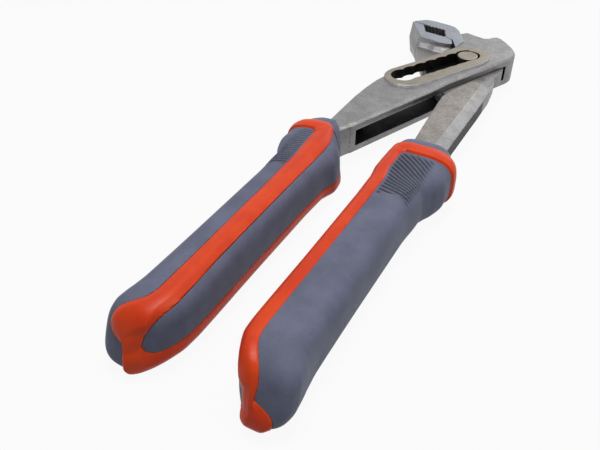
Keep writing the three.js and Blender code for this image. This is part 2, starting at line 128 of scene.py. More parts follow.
print("an orange in linear light:", [round(part, 3) for part in linear("d4400c")])

# %% [markdown]
# ## Noise, mixing and dents
# No real surface is quite even, so each finish is built from noise whose grain is given in
# millimetres. The noise mixes two colours, darkens one, changes the gloss or pushes small
# dents into the surface. Steel edges are never knife sharp either, so a dented surface can
# carry a radius that catches the light along them.

# %% Noise, mixing and dents
EDGE_SAMPLES = 6


def speckle(tree, place, size_mm, detail=3, roughness=0.6):
    """Noise whose grains are about this size."""
    inputs = {"Vector": place, "Scale": 1 / (size_mm * MM), "Detail": detail, "Roughness": roughness}
    return add(tree, "ShaderNodeTexNoise", inputs).outputs["Fac"]


def mix_colours(tree, share, first, second, way="MIX"):
    """Mixes two colours. The Mix node keeps its colour sockets at places 6 and 7."""
    inputs = {0: share, 6: first, 7: second}
    return add(tree, "ShaderNodeMix", inputs, data_type="RGBA", blend_type=way).outputs[2]


def between(tree, factor, low, high, start=0.0, end=1.0):
    """Runs from low to high, colours or numbers, while the factor runs from start to end."""
    if isinstance(low, str):
        spread = between(tree, factor, 0, 1, start, end)
        return mix_colours(tree, spread, linear(low), linear(high))
    inputs = {"Value": factor, "From Min": start, "From Max": end, "To Min": low, "To Max": high}
    return add(tree, "ShaderNodeMapRange", inputs, interpolation_type="SMOOTHSTEP").outputs["Result"]


def shade(tree, colour, factor, darkest):
    """Multiplies a colour by a grey that runs from darkest to white."""
    grey = between(tree, factor, darkest, "ffffff")
    return mix_colours(tree, 1, colour, grey, "MULTIPLY")


def dent(tree, shader, height, depth_mm, edge_mm=0):
    """Lets the light see small dents, and rounds edges where a radius is given."""
    inputs = {"Height": height, "Distance": depth_mm * MM, "Strength": 1}
    if edge_mm:
        rounded = {"Radius": edge_mm * MM}
        inputs["Normal"] = add(tree, "ShaderNodeBevel", rounded, samples=EDGE_SAMPLES).outputs[0]
    bump = add(tree, "ShaderNodeBump", inputs)
    tree.links.new(bump.outputs["Normal"], shader.inputs["Normal"])


print("helpers:", [helper.__name__ for helper in (speckle, mix_colours, between, shade, dent)])

# %% [markdown]
# ## Steel
# The levers are drop forged steel, blasted to a fine matt and then ground bright on the boss
# and the jaws. Blasted steel has a grain of about half a millimetre, a wide, soft highlight
# and soft edges. Ground steel has long fine scratches one way, so its noise is stretched:
# sixteen millimetres along the scratch and a fifth of a millimetre across. Noise values lie
# mostly between 0.3 and 0.7, so colours and gloss are spread over that.

# %% Blasted and ground steel
SLOT_TURN = math.radians(241.5)
SLOT_WAY = Vector((math.cos(SLOT_TURN), math.sin(SLOT_TURN)))
JAW_TURN = math.radians(150.5)
NOISE_SPREAD = (0.3, 0.7)
FORGED_CLOUD = 5
FORGED_GRAIN = 0.55
FORGED_DENT = 0.12
FORGED_SHADE = "b4b4b4"
GROUND_CLOUD = 7
GROUND_DENT = 0.02
GROUND_SHADE = "d8d8d8"


def scratches(tree, place, turn, along_mm=16, across_mm=0.22):
    """Noise drawn out along one direction in the plane of the plates."""
    inputs = {"Vector": place, "Rotation": (0, 0, turn)}
    inputs["Scale"] = (along_mm * MM, across_mm * MM, across_mm * MM)
    drawn = add(tree, "ShaderNodeMapping", inputs, vector_type="TEXTURE").outputs["Vector"]
    return add(tree, "ShaderNodeTexNoise", {"Vector": drawn, "Scale": 1, "Detail": 4}).outputs["Fac"]


def forged_steel(name, dark, light, smooth, rough, edge_mm, grain_mm=FORGED_GRAIN):
    """Blasted forging: a cloudy colour, a fine grain and soft edges."""
    material, tree, shader, place = start_material(name, Metallic=1)
    clouds = speckle(tree, place, FORGED_CLOUD)
    grain = speckle(tree, place, grain_mm, detail=4)
    colour = between(tree, clouds, dark, light, *NOISE_SPREAD)
    tree.links.new(shade(tree, colour, grain, FORGED_SHADE), shader.inputs["Base Color"])
    tree.links.new(between(tree, grain, rough, smooth, *NOISE_SPREAD), shader.inputs["Roughness"])
    dent(tree, shader, grain, FORGED_DENT, edge_mm)
    return material


def ground_steel(name, dark, light, turn, smooth=0.28, rough=0.42, edge_mm=0.2):
    """Ground face: streaks of colour and gloss along the stroke of the belt."""
    material, tree, shader, place = start_material(name, Metallic=1)
    streaks = scratches(tree, place, turn)
    clouds = speckle(tree, place, GROUND_CLOUD)
    colour = between(tree, streaks, dark, light, *NOISE_SPREAD)
    tree.links.new(shade(tree, colour, clouds, GROUND_SHADE), shader.inputs["Base Color"])
    tree.links.new(between(tree, streaks, rough, smooth, *NOISE_SPREAD), shader.inputs["Roughness"])
    dent(tree, shader, streaks, GROUND_DENT, edge_mm)
    return material


print("a forged grain of", FORGED_GRAIN, "mm, slot turned", round(math.degrees(SLOT_TURN), 1))

# %% [markdown]
# ## Painted shade, and the list of steels
# The blade runs inside the box, where the slot shows it in deep shade, and that shade is
# painted into its colour as black. Where it leaves the box it is bare. So its colour turns from
# black to steel between eight and twelve millimetres beside the slot's middle line, and as far
# above the rivet. The walls of the pocket are painted dark all over, as painted shade.

# %% Painted shade steel and the list of steels
SHADE_EDGE = 8
SHADE_END = 12


def painted_shade_steel(name, shaded, bare):
    """The blade: painted shade, black where it runs under the slot, bare where it leaves the box."""
    material, tree, shader, place = start_material(name, Metallic=1, Roughness=0.45)
    across = {0: place, 1: (SLOT_WAY.y, -SLOT_WAY.x, 0)}
    beyond = {0: place, 1: (-SLOT_WAY.x, -SLOT_WAY.y, 0)}
    ways = [
        add(tree, "ShaderNodeVectorMath", inputs, operation="DOT_PRODUCT").outputs["Value"]
        for inputs in (across, beyond)
    ]
    aside = add(tree, "ShaderNodeMath", {0: ways[0]}, operation="ABSOLUTE").outputs[0]
    away = add(tree, "ShaderNodeMath", {0: aside, 1: ways[1]}, operation="MAXIMUM").outputs[0]
    colour = between(tree, away, shaded, bare, SHADE_EDGE * MM, SHADE_END * MM)
    grain = speckle(tree, place, FORGED_GRAIN, detail=4)
    tree.links.new(shade(tree, colour, grain, FORGED_SHADE), shader.inputs["Base Color"])
    dent(tree, shader, grain, FORGED_DENT)
    return material


STEELS = {
    "forged": forged_steel("forged_steel_blasted", "8e8d8d", "9f9e9e", 0.32, 0.46, 0.9),
    "boss": ground_steel("boss_steel_ground", "867e71", "a39b8d", SLOT_TURN),
    "jaw": ground_steel("jaw_steel_ground", "878c96", "a8adb7", JAW_TURN, edge_mm=0.3),
    "shaft": forged_steel("shaft_steel_blasted", "8f8a85", "a09b95", 0.34, 0.48, 0.8, grain_mm=0.8),
    # The blade steel is painted shade: black under the slot, bare where the blade leaves the box.
    "blade": painted_shade_steel("blade_steel_painted_shade", "232222", "979594"),
    # The pocket steel is painted shade: nearly black, for the walls in the gap and in the slot.
    "pocket": forged_steel("pocket_steel_painted_shade", "232222", "383635", 0.45, 0.6, 0),
    "rivet": ground_steel("rivet_steel_ground", "88806f", "a0978a", SLOT_TURN),
}
print("steels:", sorted(STEELS))

# %% [markdown]
# ## Steel on the two forgings
# The forgings keep the model's own solids, so their faces only have to be told which finish
# they carry. A face is known by its place and by the way it points: the boss and the jaws'
# cheeks are level and at the very top or bottom, and the shaft's flats are level and a little
# lower. The pocket's walls lie within the gap between the plates, and so does the blade of the
# inner lever. Nothing is moved, only the faces' material numbers change.

# %% Sort the faces of the levers
MIDDLE = -7.8
GAP_HALF = 3.6
SHAFT_TOP = -2.8
SLOT_LENGTH = 38.7
BOSS_REACH = 10.6
BOX_REACH = 18.5
SLOT_REACH = 5.9
NECK_START = -34
LEVEL = 0.9
CHEEK_SLACK = 0.2
SHAFT_SLACK = 0.1


def off_slot(x, y):
    """How far a point lies from the slot's middle line, in millimetres."""
    down = min(max(SLOT_WAY.dot((x, y)), 0), SLOT_LENGTH)
    return (Vector((x, y)) - SLOT_WAY * down).length


def lever_finish(mesh, face, is_blade):
    """Names the finish of one face of a lever."""
    corners = [mesh.vertices[i].co / MM for i in face.vertices]
    x, y, z = face.center / MM
    level = abs(face.normal.z) > LEVEL
    away = off_slot(x, y)
    in_gap = all(abs(corner.z - MIDDLE) <= GAP_HALF for corner in corners)
    if level and abs(z - MIDDLE) > abs(MIDDLE) - CHEEK_SLACK:
        return "boss" if away < BOSS_REACH else "jaw"
    if level and abs(abs(z - MIDDLE) - abs(MIDDLE - SHAFT_TOP)) < SHAFT_SLACK:
        return "shaft"
    # The blade in the gap gets the blade steel, black with painted shade under the slot.
    if in_gap and is_blade and y > NECK_START:
        return "blade"
    # Walls in the gap between the plates and beside the slot get the pocket's painted shade.
    if in_gap and (away < BOX_REACH or y < NECK_START):
        return "pocket"
    if not level and away < SLOT_REACH:
        return "pocket"
    return "forged"


print("slot's middle line runs", SLOT_LENGTH, "mm down from the rivet")

# %% [markdown]
# ## Dress the two levers
# Each face gets the number of its finish. Where two faces meet at less than 32 degrees, the
# edge is smoothed, so that the arcs of the boss look round, and all sharper ones stay crisp.

# %% Dress the two levers
LEVER_SMOOTH = 32


def dress_lever(node):
    """Gives each face of a lever its finish."""
    mesh = node.data
    mesh.materials.clear()
    names = ["forged", "boss", "jaw", "shaft", "pocket", "blade"]
    for name in names:
        mesh.materials.append(STEELS[name])
    counts = dict.fromkeys(names, 0)
    for face in mesh.polygons:
        finish = lever_finish(mesh, face, node.name == "inner_lever")
        face.material_index = names.index(finish)
        counts[finish] += 1
    bpy.context.view_layer.objects.active = node
    node.select_set(True)
    bpy.ops.object.shade_smooth_by_angle(angle=math.radians(LEVER_SMOOTH))
    node.select_set(False)
    print(node.name, counts)


for lever in ("outer_lever", "inner_lever"):
    dress_lever(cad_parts[lever])

# %% [markdown]
# ## Editing a piece
# The rivet is shaped by its faces, and the grips' cylinders are cut into rings. Both take
# opening one object for editing. The rivet's faces are picked by their place and by the way
# they point.


# %% Ways to edit and to pick faces
def edit(obj):
    """Opens one object alone in edit mode, with nothing selected in it."""
    bpy.ops.object.select_all(action="DESELECT")
    bpy.context.view_layer.objects.active = obj
    obj.select_set(True)
    bpy.ops.object.mode_set(mode="EDIT")
    bpy.ops.mesh.select_mode(type="FACE")
    bpy.ops.mesh.select_all(action="DESELECT")


def leave_edit():
    """Closes edit mode."""
    bpy.ops.object.mode_set(mode="OBJECT")


def pick_faces(obj, wanted):
    """Selects the faces for which wanted(centre in mm, normal) holds."""
    bpy.ops.object.mode_set(mode="OBJECT")
    for face in obj.data.polygons:
        face.select = wanted(face.center / MM, face.normal)
    bpy.ops.object.mode_set(mode="EDIT")


print("editing helpers:", [helper.__name__ for helper in (edit, leave_edit, pick_faces)])

# %% [markdown]
# ## The rivet
# The rivet is turned from bar, pressed through the blade and ground flush with the boss. A
# cylinder is its start. Its two rims are bevelled, and on its top an inset ring with a shallow
# step shows where the head was pressed. Its sides stay straight, because they run in the slot,
# and they carry the same painted shade as the pocket.

# %% Turn the rivet
RIVET_RADIUS = 4.7
RIVET_LENGTH = 15.6
RIVET_CHAMFER = 0.3
RIVET_SIDES = 96
RIVET_SMOOTH = 25
HEAD_MIDDLE = 1
RING_INSET = 0.9
RING_WIDTH = 0.12
RING_DEPTH = 0.06
UPRIGHT = 0.2

bpy.ops.mesh.primitive_cylinder_add(
    vertices=RIVET_SIDES,
    radius=RIVET_RADIUS * MM,
    depth=RIVET_LENGTH * MM,
    location=(0, 0, MIDDLE * MM),
)
rivet = bpy.context.object
rivet.name = "pivot_rivet_turned"
bpy.ops.object.transform_apply(location=True)
edit(rivet)
pick_faces(rivet, lambda centre, normal: abs(normal.z) > LEVEL)
bpy.ops.mesh.bevel(offset=RIVET_CHAMFER * MM, segments=2, affect="EDGES")
leave_edit()
edit(rivet)
pick_faces(rivet, lambda centre, normal: normal.z > LEVEL and centre.xy.length < HEAD_MIDDLE)
bpy.ops.mesh.inset(thickness=RING_INSET * MM)
bpy.ops.mesh.inset(thickness=RING_WIDTH * MM, depth=-RING_DEPTH * MM)
leave_edit()
rivet.data.materials.append(STEELS["rivet"])
rivet.data.materials.append(STEELS["pocket"])
# The rivet's upright sides get the pocket steel, a painted shade.
for face in rivet.data.polygons:
    face.material_index = 1 if abs(face.normal.z) < UPRIGHT else 0
bpy.ops.object.shade_smooth_by_angle(angle=math.radians(RIVET_SMOOTH))
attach(rivet, "rivet")
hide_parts("pivot_rivet")
print("rivet:", len(rivet.data.polygons), "faces")

# %% [markdown]
# ## Plastics
# Each grip is moulded in two shots. The orange core is polypropylene: even in colour, with a
# soft sheen and the fine grain of a sparked mould. The grey parts are a thermoplastic rubber,
# which is softer to the eye: hardly any highlight, a little paler at grazing angles from the
# dust and the bloom on it, and a slightly uneven grey. The grooves between its ribs are
# painted darker, as painted shade, by an attribute that the covers carry. Both plastics mirror
# less than clear plastic would, or the white sheet would bleach their colours.

# %% The two plastics
FLOW_SPREAD = (0.35, 0.65)
MOULD_GRAIN = 0.35
MOULD_FLOW = 14
MOULD_DENT = 0.02
RUBBER_GRAIN = 0.4
RUBBER_BLOOM = 11
RUBBER_DENT = 0.04
RUBBER_SHADE = "d0d0d0"
GROOVE_PAINTED_SHADE = "4c4c4c"

CORE_PLASTIC, tree, shader, place = start_material(
    "core_polypropylene_moulded", IOR=1.49, Specular_IOR_Level=0.25
)
mould_grain = speckle(tree, place, MOULD_GRAIN)
mould_flow = speckle(tree, place, MOULD_FLOW)
orange = between(tree, mould_flow, "c83405", "d4400c", *FLOW_SPREAD)
tree.links.new(orange, shader.inputs["Base Color"])
tree.links.new(between(tree, mould_grain, 0.34, 0.48, *NOISE_SPREAD), shader.inputs["Roughness"])
dent(tree, shader, mould_grain, MOULD_DENT)

GRIP_RUBBER, tree, shader, place = start_material(
    "grip_rubber_moulded", IOR=1.5, Specular_IOR_Level=0.3, Sheen_Weight=0.08, Sheen_Roughness=0.4
)
rubber_grain = speckle(tree, place, RUBBER_GRAIN)
rubber_bloom = speckle(tree, place, RUBBER_BLOOM)
rubber = between(tree, rubber_bloom, "5c6075", "6b6f86", *NOISE_SPREAD)
grooves = add(tree, "ShaderNodeAttribute", attribute_name="groove").outputs["Fac"]
rubber = shade(tree, rubber, rubber_grain, RUBBER_SHADE)
# Painted shade: the rubber's colour is darkened in the grooves between the ribs.
ridges = add(tree, "ShaderNodeMath", {0: 1, 1: grooves}, operation="SUBTRACT").outputs[0]
tree.links.new(shade(tree, rubber, ridges, GROOVE_PAINTED_SHADE), shader.inputs["Base Color"])
tree.links.new(between(tree, rubber_grain, 0.55, 0.72, *NOISE_SPREAD), shader.inputs["Roughness"])
dent(tree, shader, rubber_grain, RUBBER_DENT)
print("plastics:", CORE_PLASTIC.name, GRIP_RUBBER.name)

# %% [markdown]
# ## The moulding's shape
# Both grips come out of one mould shape: a rounded oblong section that swells into a guard at
# the front and closes in a slanted butt at the back. The table holds its stations, as shares
# of the section's size, and they are the model's own, so that the dressed grip keeps to the
# solid one. The inner grip is the same moulding turned half round its length.

# %% The moulding's stations
COLLAR_SHARE = 0.035
KEYS = ("along", "away", "near", "twist", "guard", "nub", "tuck", "depth", "slant")
STATIONS = (
    (0, 0.93, 0.97, 0, 0, 0, 1, 0.8, 0),
    (0.012, 1, 1, 0, 0.05, 0.2, 1, 0.88, 0),
    (COLLAR_SHARE, 1, 1, 0, 0.35, 0.5, 0.95, 0.97, 0),
    (0.06, 1, 1, 0, 0.72, 0.75, 0.8, 1.02, 0),
    (0.105, 1, 1, 0, 1, 0.9, 0.4, 1.05, 0),
    (0.15, 1, 1, 0, 1, 1, 0.1, 1.05, 0),
    (0.19, 1, 1, 0, 0.72, 1, 0, 1.04, 0),
    (0.22, 1, 1, 0, 0.32, 0.5, 0, 1.02, 0),
    (0.25, 1, 1, 0, 0.05, 0.1, 0, 1, 0),
    (0.36, 0.93, 0.98, 0, 0, 0, 0, 1, 0),
    (0.6, 0.93, 0.98, 0, 0, 0, 0, 1, 0),
    (0.84, 0.96, 1, 0, 0, 0, 0, 1, 0),
    (0.89, 1.01, 0.97, 0.01, 0, 0, 0, 1, 0.25),
    (0.92, 1.05, 0.88, 0.04, 0, 0, 0, 0.99, 0.5),
    (0.945, 1.06, 0.76, 0.08, 0, 0, 0, 0.97, 0.7),
    (0.967, 1.0, 0.61, 0.14, 0, 0, 0, 0.92, 0.86),
    (0.983, 0.88, 0.46, 0.18, 0, 0, 0, 0.83, 0.94),
    (0.995, 0.66, 0.28, 0.17, 0, 0, 0, 0.64, 0.98),
    (1, 0.36, 0.13, 0.1, 0, 0, 0, 0.36, 1),
)
print(len(STATIONS), "stations, from", STATIONS[0][0], "to", STATIONS[-1][0], "of the grip's length")

# %% [markdown]
# ## A smooth curve through the stations
# The mould has no creases between its stations, so a curve runs through them that is smooth at
# each and never swings past one. Where a column turns back, its slope is zero. The same curve
# later draws the edges of the rubber covers.


# %% A smooth curve through the stations
def slopes(places, values):
    """Slopes for a smooth curve that never overshoots its points."""
    steps = [(b - a) / (q - p) for a, b, p, q in zip(values, values[1:], places, places[1:])]
    inner = [0 if s * t <= 0 else 2 * s * t / (s + t) for s, t in zip(steps, steps[1:])]
    return [steps[0], *inner, steps[-1]]


def through(table, place):
    """The value at a place on a smooth curve through a table of places and values."""
    places, values = zip(*table)
    bends = slopes(places, values)
    place = min(max(place, places[0]), places[-1])
    i = next(k for k in range(len(places) - 1) if place <= places[k + 1])
    width = places[i + 1] - places[i]
    t = (place - places[i]) / width
    a, b, p, q = values[i], values[i + 1], bends[i] * width, bends[i + 1] * width
    return a + t * (p + t * (3 * (b - a) - 2 * p - q + t * (2 * (a - b) + p + q)))


COLUMNS = {key: [(row[0], row[i]) for row in STATIONS] for i, key in enumerate(KEYS) if i}


@functools.cache
def station_at(along):
    """The moulding's shares at one share of its length."""
    return {key: through(column, along) for key, column in COLUMNS.items()}


print("half way down the grip:", {k: round(v, 2) for k, v in station_at(0.5).items()})

# %% [markdown]
# ## Directions round the section
# A hand holds a rounded oblong better than a circle, so the section is a circle pushed out
# into its corners. That crowds its points there. Two functions go from a point's angle to the
# direction it is really seen in and back, so that points can be spread evenly and borders can
# be given as directions: 0 faces the other handle, 90 and 270 are the broad faces, and 180 is
# the side away from it.

# %% Directions round the section
SECTION_POWER = 3.2


def squared(part):
    """A coordinate of the unit circle, moved on to a rounded oblong."""
    return math.copysign(abs(part) ** (2 / SECTION_POWER), part)


def heading(angle):
    """The direction in which the oblong's point for this angle is really seen."""
    seen_at = math.atan2(squared(math.sin(angle)), squared(math.cos(angle)))
    return angle + (seen_at - angle + math.pi) % (2 * math.pi) - math.pi


def angle_of(seen_at):
    """The angle whose point is seen in this direction, the other way round."""
    parts = (math.sin(seen_at), math.cos(seen_at))
    return math.atan2(*(math.copysign(abs(part) ** (SECTION_POWER / 2), part) for part in parts))


for corner in (30, 45, 60):
    print(corner, "degrees is seen at", round(math.degrees(heading(math.radians(corner))), 1))

# %% [markdown]
# ## A point of the moulding
# One function gives a point of the moulding: how far along, at which angle round the section,
# and how far outside or under the surface. Every grip piece starts as a simple cylinder or
# grid, and is wrapped on to the moulding by moving each of its points there. Past the last
# station the section closes flat towards the middle of the butt. The outer grip is tucked
# along the neck at its front, and each grip has a nub there that faces the other handle.

# %% A point of the moulding
GRIP_LENGTH = 127
HALF_WIDTH = 10.4
HALF_DEPTH = 10
GUARD_BULGE = 5
FRONT_TUCK = 5.2
FRONT_LAG = 5.5
END_SLANT = 4.5
END_DRIFT = 1.8
END_LIFT = (0.92, 0.985)
BUTT_SHARE = 0.02
BUTT_MIDDLE = 0.04
GRIPS = {
    "outer": {
        "body": "outer_lever",
        "turned": False,
        "tucked": True,
        "centre": -26.6,
        "front": -85.5,
        "nub": 3,
    },
    "inner": {
        "body": "inner_lever",
        "turned": True,
        "tucked": False,
        "centre": 10.736,
        "front": -84,
        "nub": 1.3,
    },
}


def ease(value, start, end):
    """Runs smoothly from 0 to 1 while the value runs from start to end."""
    t = min(max((value - start) / (end - start), 0), 1)
    return t * t * (3 - 2 * t)


def grip_point(along, angle, rise, way):
    """A point in metres: rise is how far it stands over the moulding's surface."""
    shares = station_at(min(along, 1))
    closing = max(1 - max(along - 1, 0) / BUTT_SHARE, BUTT_MIDDLE)
    x = squared(math.cos(angle)) * closing
    z = squared(math.sin(angle)) * closing
    height = z * (shares["depth"] * HALF_DEPTH + rise)
    down = (1 if way["turned"] else -1) * height / HALF_DEPTH
    nub_side = (1 - math.sin(angle)) / 2
    far = shares["away"] * HALF_WIDTH + shares["guard"] * GUARD_BULGE
    given = shares["tuck"] if way["tucked"] else 0
    near = (shares["near"] - shares["twist"] * down) * HALF_WIDTH
    near += shares["nub"] * nub_side * way["nub"]
    near -= given * FRONT_TUCK
    lag = given * max(0, x) * FRONT_LAG
    across = x * ((near if x > 0 else far) + rise) - (1 - shares["near"]) * END_DRIFT
    back = -min(along, 1) * GRIP_LENGTH - shares["slant"] * END_SLANT * down - lag
    back -= rise * ease(along, *END_LIFT)
    if way["turned"]:
        across, height = -across, -height
    return Vector((across + way["centre"], back + way["front"], height + MIDDLE)) * MM


for side, way in GRIPS.items():
    butt = grip_point(1, math.pi, 0, way) / MM
    print(side, "butt, far side, in mm:", [round(part, 1) for part in butt])

# %% [markdown]
# ## Where the rubber lies
# Two rubber covers sit in the orange core: a wrap round the outside of the hand, and a narrow
# pad on the side that faces the other handle. Each cover has two edges, given as directions in
# degrees round the section at shares of the grip's length. The pad's edges draw together at
# its end, and the wrap runs on to the middle of the butt. The same function serves the cover
# itself and the hollow in the core, so the two always meet.

# %% The covers' edges
COVERS = {
    "wrap": {
        "front": 0.105,
        "back": 1 + BUTT_SHARE,
        "first": (
            (0.105, 103), (0.12, 97), (0.88, 90), (0.93, 94), (0.955, 103), (0.975, 117),
            (0.99, 136), (1, 160),
        ),
        "last": (
            (0.105, 292), (0.12, 297), (0.2, 296), (0.27, 291), (0.93, 292), (0.955, 289),
            (0.975, 283), (0.99, 275), (1, 264),
        ),
    },
    "pad": {
        "front": 0.05,
        "back": 0.986,
        "first": (
            (0.05, -16), (0.07, -21), (0.9, -18), (0.94, -20), (0.963, -18), (0.977, -12), (0.986, 0),
        ),
        "last": (
            (0.05, 51), (0.07, 53), (0.7, 52), (0.85, 50), (0.93, 46), (0.96, 42), (0.977, 36),
            (0.986, 24),
        ),
    },
}


@functools.cache
def cover_edges(kind, along):
    """The directions of a cover's two edges, in radians, at one share of the grip's length."""
    return tuple(math.radians(through(COVERS[kind][edge], along)) for edge in ("first", "last"))


def inside_cover(kind, along, angle):
    """How far inside a cover's edges a point lies, in millimetres. Outside it is negative."""
    first, last = cover_edges(kind, along)
    middle = (first + last) / 2
    turned = (heading(angle) - middle + math.pi) % (2 * math.pi) - math.pi
    edge = ((last - first) / 2 - abs(turned)) * HALF_WIDTH * station_at(along)["depth"]
    cover = COVERS[kind]
    ends = along - cover["front"]
    if cover["back"] < 1:
        ends = min(ends, cover["back"] - along)
    return min(edge, ends * GRIP_LENGTH)


for kind in COVERS:
    edges = [round(math.degrees(edge)) for edge in cover_edges(kind, 0.5)]
    print("half way down,", kind, "from", edges[0], "to", edges[1], "degrees")

# %% [markdown]
# ## Wrapping a cylinder
# The core and the collars close all round, so they start as a cylinder with 160 sides. Its
# side is cut into rings, and each point is moved on to the moulding. The rings stand closer
# together towards the back, where the butt curves most.

# %% Wrap a cylinder on to the moulding
ROUND_SIDES = 160
LEVEL_GAP = 1e-6
RING_CROWDING = 0.7
PLACE_DIGITS = 5


def cylinder_rings(name, cuts):
    """A unit cylinder along Z whose side is cut into rings, once for each number in cuts."""
    bpy.ops.object.select_all(action="DESELECT")
    bpy.ops.mesh.primitive_cylinder_add(vertices=ROUND_SIDES, radius=1, depth=1, location=(0, 0, 0))
    made = bpy.context.object
    made.name = name
    edit(made)
    bpy.ops.mesh.select_mode(type="EDGE")
    for cut in cuts:
        bpy.ops.mesh.select_all(action="DESELECT")
        bpy.ops.object.mode_set(mode="OBJECT")
        points = made.data.vertices
        for edge in made.data.edges:
            a, b = (points[i].co for i in edge.vertices)
            edge.select = abs(a.z - b.z) > LEVEL_GAP
        bpy.ops.object.mode_set(mode="EDIT")
        bpy.ops.mesh.subdivide(number_cuts=cut)
    leave_edit()
    return made


def wrap_round(made, start, end, way, rise):
    """Moves each point of a cylinder of rings on to the moulding."""
    for point in made.data.vertices:
        x, y, z = point.co
        t = 0.5 - z
        spread = t * (1 + RING_CROWDING - RING_CROWDING * t)
        along = round(start + spread * (end - start), PLACE_DIGITS)
        angle = angle_of(math.atan2(y, x))
        point.co = grip_point(along, angle, rise(along, angle), way)
    made.data.update()


def turn_outwards(made):
    """Makes all faces of a piece point the same way, outwards where it is closed."""
    edit(made)
    bpy.ops.mesh.select_all(action="SELECT")
    bpy.ops.mesh.normals_make_consistent(inside=False)
    leave_edit()


def settle(made, material, body, nodes, slot, smooth):
    """Turns the faces outwards, smooths them, gives the piece its material, ties it to its body and
    hides the nodes it replaces.
    """
    turn_outwards(made)
    bpy.ops.object.shade_smooth_by_angle(angle=math.radians(smooth))
    made.data.materials.clear()
    made.data.materials.append(material)
    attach(made, body)
    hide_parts(*nodes)
    print(made.name, len(made.data.polygons), "faces")


print("cylinder helpers:", [helper.__name__ for helper in (cylinder_rings, wrap_round, settle)])

# %% [markdown]
# ## The orange core
# The core is the hard part of the grip, moulded over the tang before the rubber. Under a cover
# its surface sinks, and beside a cover it rises to a crown, which gives the rounded orange
# bands and the rim round the guard. Its front edge is rounded over.

# %% Model the cores
CORE_START = 0.05
CORE_CUTS = (14, 14)
CORE_SINK = 2.1
CORE_SMOOTH = 40
HOLLOW_WALL = (-0.35, 0.9)
BAND_CROWN = 0.65
BAND_EDGE = -0.15
BAND_RUN = 3.4
FRONT_ROUND = 0.9
FRONT_RUN = 0.016


def core_rise(along, angle):
    """How far the core stands over the moulding's surface."""
    inside = max(inside_cover(kind, along, angle) for kind in COVERS)
    hollow = ease(inside, *HOLLOW_WALL)
    crown = ease(-inside, 0, BAND_RUN)
    front = 1 - ease(along, CORE_START, CORE_START + FRONT_RUN)
    return BAND_EDGE + BAND_CROWN * crown - FRONT_ROUND * front**2 - CORE_SINK * hollow


for side, way in GRIPS.items():
    core = cylinder_rings(f"{side}_grip_core_moulded", CORE_CUTS)
    wrap_round(core, CORE_START, 1 + BUTT_SHARE, way, core_rise)
    settle(core, CORE_PLASTIC, way["body"], [f"{side}_grip_core"], "orange_plastic", CORE_SMOOTH)

# %% [markdown]
# ## Ribs for the thumb
# On both broad faces of the guard the wrap carries low ribs that give the thumb a hold. They
# are a wave along the grip that leans and fans out, and they end at a bowed line. The same
# wave tells how deep in a groove a point lies, so that the rubber's colour can be darkened
# there as painted shade.

# %% The ribs' relief
RIB_PITCH = 2.1
RIB_HEIGHT = 0.6
RIB_SINK = 0.15
RIB_FIRST = 13.4
RIB_RUN_IN = 2
FAN_LEAN = 0.2
FAN_SPREAD = 0.6
FAN_START = 41
FAN_RUN = 16
FAN_MIDDLE = 5
BOW_PLACE = 40.6
BOW_DEPTH = 0.055
BOW_MIDDLE = -3
BOW_RUN = 0.9
BROAD_FACE = (0.45, 0.75)
WRAP_RIM = (0.2, 1)
GUARD_SIDE = (-10.5, -7)


def rib_rise(along, angle):
    """The height of the ribs, and how deep in a groove a point is."""
    shares = station_at(along)
    face = abs(math.sin(angle))
    far = shares["away"] * HALF_WIDTH + shares["guard"] * GUARD_BULGE
    x = squared(math.cos(angle))
    across = x * (far if x < 0 else shares["near"] * HALF_WIDTH)
    from_front = along * GRIP_LENGTH
    fan = FAN_SPREAD * ease(FAN_START - from_front, 0, FAN_RUN) + FAN_LEAN
    run = from_front - fan * (FAN_MIDDLE - across)
    bow = BOW_PLACE + BOW_DEPTH * (across - BOW_MIDDLE) ** 2
    ribbed = ease(bow - from_front, 0, BOW_RUN)
    on_face = ease(face, *BROAD_FACE) * ease(from_front, RIB_FIRST, RIB_FIRST + RIB_RUN_IN)
    on_face *= ease(inside_cover("wrap", along, angle), *WRAP_RIM) * ease(across, *GUARD_SIDE)
    ridge = 0.5 + 0.5 * math.cos(2 * math.pi * run / RIB_PITCH)
    depth = ribbed * on_face
    return (RIB_HEIGHT * (ridge - 0.5) - RIB_SINK) * depth, (1 - ridge) * depth


relief = rib_rise(0.2, math.radians(100))
print("ribs' relief and groove at a fifth of the grip:", [round(value, 2) for value in relief])

# %% [markdown]
# ## Laying a cover
# A cover starts as a flat grid. Its columns run along the grip and its rows from edge to edge,
# and each point is moved on to the moulding. The rubber lies a little lower than the orange
# bands beside it, and lower still over the guard.

# %% Lay a grid on the moulding
PAD_SINK = 0.35
WRAP_SINK = 0.3
PANEL_SINK = 0.6
PANEL_END = 0.3
PANEL_RUN = 0.16
ROW_CROWDING = 0.65


def cover_rise(kind, along, angle):
    """How far a cover stands over the moulding, and how deep in a groove the point is."""
    if kind == "pad":
        return -PAD_SINK, 0
    rise, groove = rib_rise(along, angle)
    return rise - PANEL_SINK * ease(PANEL_END - along, 0, PANEL_RUN) - WRAP_SINK, groove


def cover_grid(name, columns, rows):
    """A flat grid, one unit long and wide, round its own middle."""
    bpy.ops.object.select_all(action="DESELECT")
    bpy.ops.mesh.primitive_grid_add(x_subdivisions=columns, y_subdivisions=rows, size=1)
    made = bpy.context.object
    made.name = name
    return made


